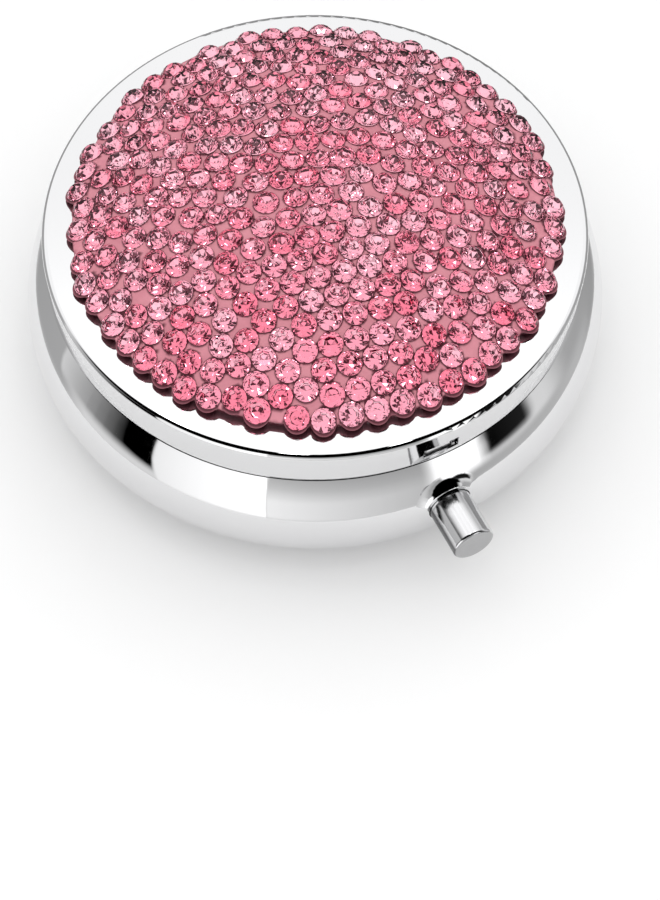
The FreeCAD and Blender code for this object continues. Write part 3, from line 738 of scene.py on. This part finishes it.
def make_world():
    """Panels and lamps for polished surfaces and stones, and even light for matt surfaces."""
    world = bpy.data.worlds.new("studio")
    world.use_nodes = True
    tree = world.node_tree
    bpy.context.scene.world = world
    direction = node(tree, "TexCoord").outputs["Generated"]
    turned = node(tree, "VectorRotate", {"Vector": direction, "Angle": -CAMERA_AZIMUTH},
                  rotation_type="Z_AXIS").outputs["Vector"]
    parts = node(tree, "SeparateXYZ", {"Vector": turned})
    back = compute(tree, "MULTIPLY", parts.outputs["Y"], -1.0)
    azimuth = compute(tree, "DEGREES", compute(tree, "ARCTAN2", parts.outputs["X"], back))
    elevation = compute(tree, "DEGREES", compute(tree, "ARCSINE", parts.outputs["Z"]))
    path = node(tree, "LightPath")
    level = mix_values(tree, path.outputs["Is Transmission Ray"],
                       lay_panels(tree, azimuth, elevation, PANELS),
                       lay_panels(tree, azimuth, elevation, STONE_PANELS))
    for lamp_azimuth, lamp_elevation, radius, brightness in LAMPS:
        a = math.radians(lamp_azimuth)
        e = math.radians(lamp_elevation)
        towards = (math.sin(a) * math.cos(e), -math.cos(a) * math.cos(e), math.sin(e))
        cosine = node(tree, "VectorMath", {0: turned, 1: towards}, operation="DOT_PRODUCT")
        spot = remap(tree, cosine.outputs["Value"], math.cos(math.radians(radius)),
                     math.cos(math.radians(radius * LAMP_CORE)), smooth=True)
        level = mix_values(tree, spot, level, brightness)
    plain = compute(tree, "MAXIMUM", path.outputs["Is Camera Ray"],
                    path.outputs["Is Diffuse Ray"])
    shade = mix_values(tree, plain, level, BACKDROP)
    tree.links.new(shade, tree.nodes["Background"].inputs["Color"])


def make_floor():
    """A wide pale floor. Polished surfaces see only the part near the case."""
    finish = floor_paint("pale_floor")
    centre = [(0.0, 0.0, 0.0)]
    near = circle(FLOOR_NEAR)
    far = circle(FLOOR_REACH)
    fan = [(0, 1 + i, 1 + (i + 1) % FLOOR_SIDES) for i in range(FLOOR_SIDES)]
    add_floor("floor_near", centre + near, fan, finish)
    numbers = list(range(FLOOR_SIDES))
    outer = [FLOOR_SIDES + i for i in numbers]
    wide = add_floor("floor_wide", near + far, wall(outer, numbers), finish)
    wide.visible_glossy = False


def circle(radius):
    return [(radius * math.cos(math.tau * i / FLOOR_SIDES),
             radius * math.sin(math.tau * i / FLOOR_SIDES), 0.0) for i in range(FLOOR_SIDES)]


def add_floor(name, points, faces, finish):
    mesh = bpy.data.meshes.new(name)
    mesh.from_pydata(points, [], faces)
    mesh.materials.append(finish)
    floor = bpy.data.objects.new(name, mesh)
    bpy.context.scene.collection.objects.link(floor)
    return floor


def make_camera():
    """Aimed at the case's middle, then turned until the case stands off the picture's middle."""
    data = bpy.data.cameras.new("camera")
    data.lens = CAMERA_LENS
    data.sensor_width = CAMERA_SENSOR
    data.clip_start = 0.01
    data.clip_end = 10.0
    camera = bpy.data.objects.new("camera", data)
    back = Vector((math.sin(CAMERA_AZIMUTH) * math.cos(CAMERA_ELEVATION),
                   -math.cos(CAMERA_AZIMUTH) * math.cos(CAMERA_ELEVATION),
                   math.sin(CAMERA_ELEVATION)))
    right, up = [math.atan(part * CAMERA_SENSOR / CAMERA_LENS) for part in STAND_OFF]
    aim = (-back).to_track_quat("-Z", "Y")
    camera.rotation_mode = "QUATERNION"
    camera.rotation_quaternion = (aim @ Quaternion((1, 0, 0), -up)
                                  @ Quaternion((0, 1, 0), right))
    camera.location = Vector((0, 0, EQUATOR)) + back * CAMERA_DISTANCE
    bpy.context.scene.collection.objects.link(camera)
    bpy.context.scene.camera = camera


# ---------------------------------------------------------------- the whole scene

def paint_nodes():
    """Every CAD node that stays in sight gets its finish."""
    bright = chrome("chrome")
    hinge = chrome("hinge_chrome_finish")
    steel = brushed("latch_steel_finish", (0.80, 0.80, 0.81), (0.66, 0.66, 0.67))
    wire = metal("spring_steel_finish", (0.62, 0.62, 0.63), (0.50, 0.50, 0.52), 0.18, 0.14)
    for name in ("base_shell", "neck_ring", "lid_shell", "mirror_ring"):
        paint(name, bright)
    paint("push_button", painted_reflection_nickel("button_nickel_painted_reflections"))
    for name in ("hinge_bracket", "hinge_pin", "lid_hinge_leaf"):
        paint(name, hinge)
    paint("stem_clip", wire)
    make_spring(wire)
    paint("latch_hook", steel)
    paint("latch_guide", brushed("guide_brass_finish", (0.78, 0.66, 0.50), (0.62, 0.50, 0.36)))
    paint("compartment_tray", plastic("tray_plastic_finish"))
    paint("mirror", mirror_glass("mirror_finish"))
    paint("mirror_pad", foam("pad_foam_finish"))


def main():
    make_camera()
    make_world()
    make_floor()
    paint_nodes()
    glass = stone_glass("stone_crown_glass")
    foil = stone_foil("stone_foil")
    seats = {name: stone_seats(f"rhinestones_{name}") for name in STONE_BANDS}
    for name, places in seats.items():
        make_stones(name, places, glass, foil)
    make_bed([seat for places in seats.values() for seat in places], clay("bed_clay_painted_shade_finish"))
    bpy.context.scene.view_settings.view_transform = "Standard"


main()
